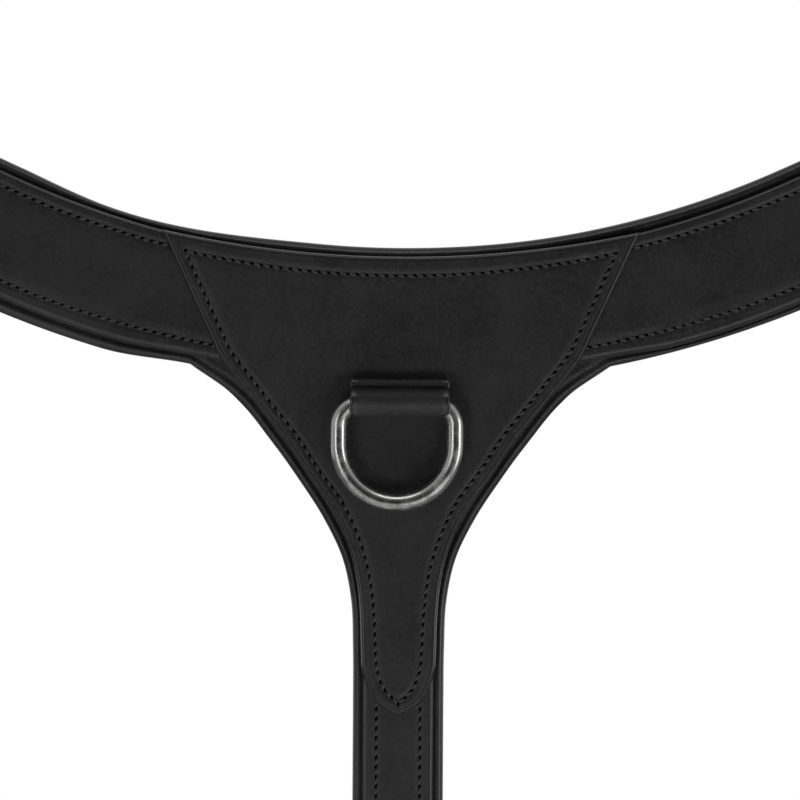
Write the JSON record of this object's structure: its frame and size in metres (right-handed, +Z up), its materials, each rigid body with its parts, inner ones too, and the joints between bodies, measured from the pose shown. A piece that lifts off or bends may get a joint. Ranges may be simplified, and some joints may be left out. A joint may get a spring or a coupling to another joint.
{
  "type": "breastplate martingale",
  "caption": "Padded leather breastplate martingale: curved chest yoke with breast dee, elastic saddle straps with snap hooks, and a buckled belly strap.",
  "frame": {"origin": "back face of the chest padding, straight behind the middle of the dee's bar", "axes": "+Z up as worn, +X across the chest to the right as seen from the front, the front face of the leather looks along -Y"},
  "size_m": [0.965, 0.2852, 0.9371],
  "materials": {
    "black_leather": "satin",
    "lining_leather": "satin",
    "padding_foam": "matte",
    "elastic_webbing": "matte",
    "polished_steel": "polished",
    "spring_steel": "brushed"
  },
  "bodies": {
    "yoke": {"chest_lining": "lining_leather", "chest_padding": "padding_foam", "chest_strap_right": "black_leather", "chest_strap_left": "black_leather", "yoke_stiffener": "black_leather", "breast_shield": "black_leather", "dee_keeper": "black_leather", "belly_lining": "lining_leather", "belly_strap": "black_leather", "ring_chape_right": "black_leather", "ring_chape_left": "black_leather", "girth_chape": "black_leather", "girth_buckle": "polished_steel", "girth_fixed_keeper": "black_leather", "girth_loop": "black_leather"},
    "dee": {"dee_ring": "polished_steel"},
    "girth_roller": {"girth_roller": "polished_steel"},
    "girth_tongue": {"girth_tongue": "polished_steel"},
    "girth_keeper": {"girth_running_keeper": "black_leather"},
    "ring_right": {"shoulder_ring_right": "polished_steel"},
    "tug_right": {"elastic_chape_right": "black_leather", "elastic_right": "elastic_webbing", "saddle_chape_right": "black_leather", "saddle_buckle_right": "polished_steel", "saddle_fixed_keeper_right": "black_leather", "saddle_billet_right": "black_leather"},
    "saddle_right_roller": {"saddle_roller_right": "polished_steel"},
    "saddle_right_tongue": {"saddle_tongue_right": "polished_steel"},
    "saddle_right_keeper": {"saddle_running_keeper_right": "black_leather"},
    "hook_eye_right": {"hook_eye_right": "polished_steel"},
    "hook_right": {"hook_body_right": "polished_steel", "hook_spring_right": "spring_steel"},
    "bolt_right": {"hook_bolt_right": "polished_steel"},
    "ring_left": {"shoulder_ring_left": "polished_steel"},
    "tug_left": {"elastic_chape_left": "black_leather", "elastic_left": "elastic_webbing", "saddle_chape_left": "black_leather", "saddle_buckle_left": "polished_steel", "saddle_fixed_keeper_left": "black_leather", "saddle_billet_left": "black_leather"},
    "saddle_left_roller": {"saddle_roller_left": "polished_steel"},
    "saddle_left_tongue": {"saddle_tongue_left": "polished_steel"},
    "saddle_left_keeper": {"saddle_running_keeper_left": "black_leather"},
    "hook_eye_left": {"hook_eye_left": "polished_steel"},
    "hook_left": {"hook_body_left": "polished_steel", "hook_spring_left": "spring_steel"},
    "bolt_left": {"hook_bolt_left": "polished_steel"}
  },
  "joints": [
    {"name": "dee_swing", "type": "hinge", "parent": "yoke", "child": "dee", "pos_m": [0, -0.01362, 0], "axis": [-1, 0, 0], "range_deg": [0, 170]},
    {"name": "girth_roller_spin", "type": "hinge", "parent": "yoke", "child": "girth_roller", "pos_m": [0, 0.16966, -0.39757], "axis": [1, 0, 0], "continuous": true},
    {"name": "girth_tongue_lift", "type": "hinge", "parent": "yoke", "child": "girth_tongue", "pos_m": [0, 0.15201, -0.38093], "axis": [-1, 0, 0], "range_deg": [0, 12]},
    {"name": "girth_keeper_slide", "type": "slide", "parent": "yoke", "child": "girth_keeper", "axis": [0, 0.8192, -0.5736], "range_m": [-0.008, 0.007]},
    {"name": "ring_spin_right", "type": "hinge", "parent": "yoke", "child": "ring_right", "pos_m": [0.26445, 0.05161, 0.18819], "axis": [0.5328, -0.8463, 0], "continuous": true},
    {"name": "tug_swing_right", "type": "hinge", "parent": "yoke", "child": "tug_right", "pos_m": [0.26445, 0.05161, 0.18819], "axis": [0.5328, -0.8463, 0], "range_deg": [-45, 45]},
    {"name": "saddle_right_roller_spin", "type": "hinge", "parent": "tug_right", "child": "saddle_right_roller", "pos_m": [0.40352, 0.13503, 0.3638], "axis": [-0.6218, -0.3915, 0.6783], "continuous": true},
    {"name": "saddle_right_tongue_lift", "type": "hinge", "parent": "tug_right", "child": "saddle_right_tongue", "pos_m": [0.38788, 0.12931, 0.34616], "axis": [0.6218, 0.3915, -0.6783], "range_deg": [0, 12]},
    {"name": "saddle_right_keeper_slide", "type": "slide", "parent": "tug_right", "child": "saddle_right_keeper", "axis": [0.5741, 0.3614, 0.7348], "range_m": [-0.002, 0.007]},
    {"name": "hook_fold_right", "type": "hinge", "parent": "tug_right", "child": "hook_eye_right", "pos_m": [0.44431, 0.167, 0.41964], "axis": [-0.6218, -0.3915, 0.6783], "range_deg": [-80, 80]},
    {"name": "hook_swivel_right", "type": "hinge", "parent": "hook_eye_right", "child": "hook_right", "pos_m": [0.44431, 0.167, 0.41964], "axis": [0.5741, 0.3614, 0.7348], "continuous": true},
    {"name": "bolt_draw_right", "type": "slide", "parent": "hook_right", "child": "bolt_right", "axis": [-0.5741, -0.3614, -0.7348], "range_m": [0, 0.008], "stiffness_N_per_m": 200, "springref_m": -0.002, "deforming": ["hook_spring_right"]},
    {"name": "ring_spin_left", "type": "hinge", "parent": "yoke", "child": "ring_left", "pos_m": [-0.26445, 0.05161, 0.18819], "axis": [0.5328, 0.8463, 0], "continuous": true},
    {"name": "tug_swing_left", "type": "hinge", "parent": "yoke", "child": "tug_left", "pos_m": [-0.26445, 0.05161, 0.18819], "axis": [0.5328, 0.8463, 0], "range_deg": [-45, 45]},
    {"name": "saddle_left_roller_spin", "type": "hinge", "parent": "tug_left", "child": "saddle_left_roller", "pos_m": [-0.40352, 0.13503, 0.3638], "axis": [-0.6218, 0.3915, -0.6783], "continuous": true},
    {"name": "saddle_left_tongue_lift", "type": "hinge", "parent": "tug_left", "child": "saddle_left_tongue", "pos_m": [-0.38788, 0.12931, 0.34616], "axis": [0.6218, -0.3915, 0.6783], "range_deg": [0, 12]},
    {"name": "saddle_left_keeper_slide", "type": "slide", "parent": "tug_left", "child": "saddle_left_keeper", "axis": [-0.5741, 0.3614, 0.7348], "range_m": [-0.002, 0.007]},
    {"name": "hook_fold_left", "type": "hinge", "parent": "tug_left", "child": "hook_eye_left", "pos_m": [-0.44431, 0.167, 0.41964], "axis": [-0.6218, 0.3915, -0.6783], "range_deg": [-80, 80]},
    {"name": "hook_swivel_left", "type": "hinge", "parent": "hook_eye_left", "child": "hook_left", "pos_m": [-0.44431, 0.167, 0.41964], "axis": [0.5741, -0.3614, -0.7348], "continuous": true},
    {"name": "bolt_draw_left", "type": "slide", "parent": "hook_left", "child": "bolt_left", "axis": [0.5741, -0.3614, -0.7348], "range_m": [0, 0.008], "stiffness_N_per_m": 200, "springref_m": -0.002, "deforming": ["hook_spring_left"]}
  ]
}
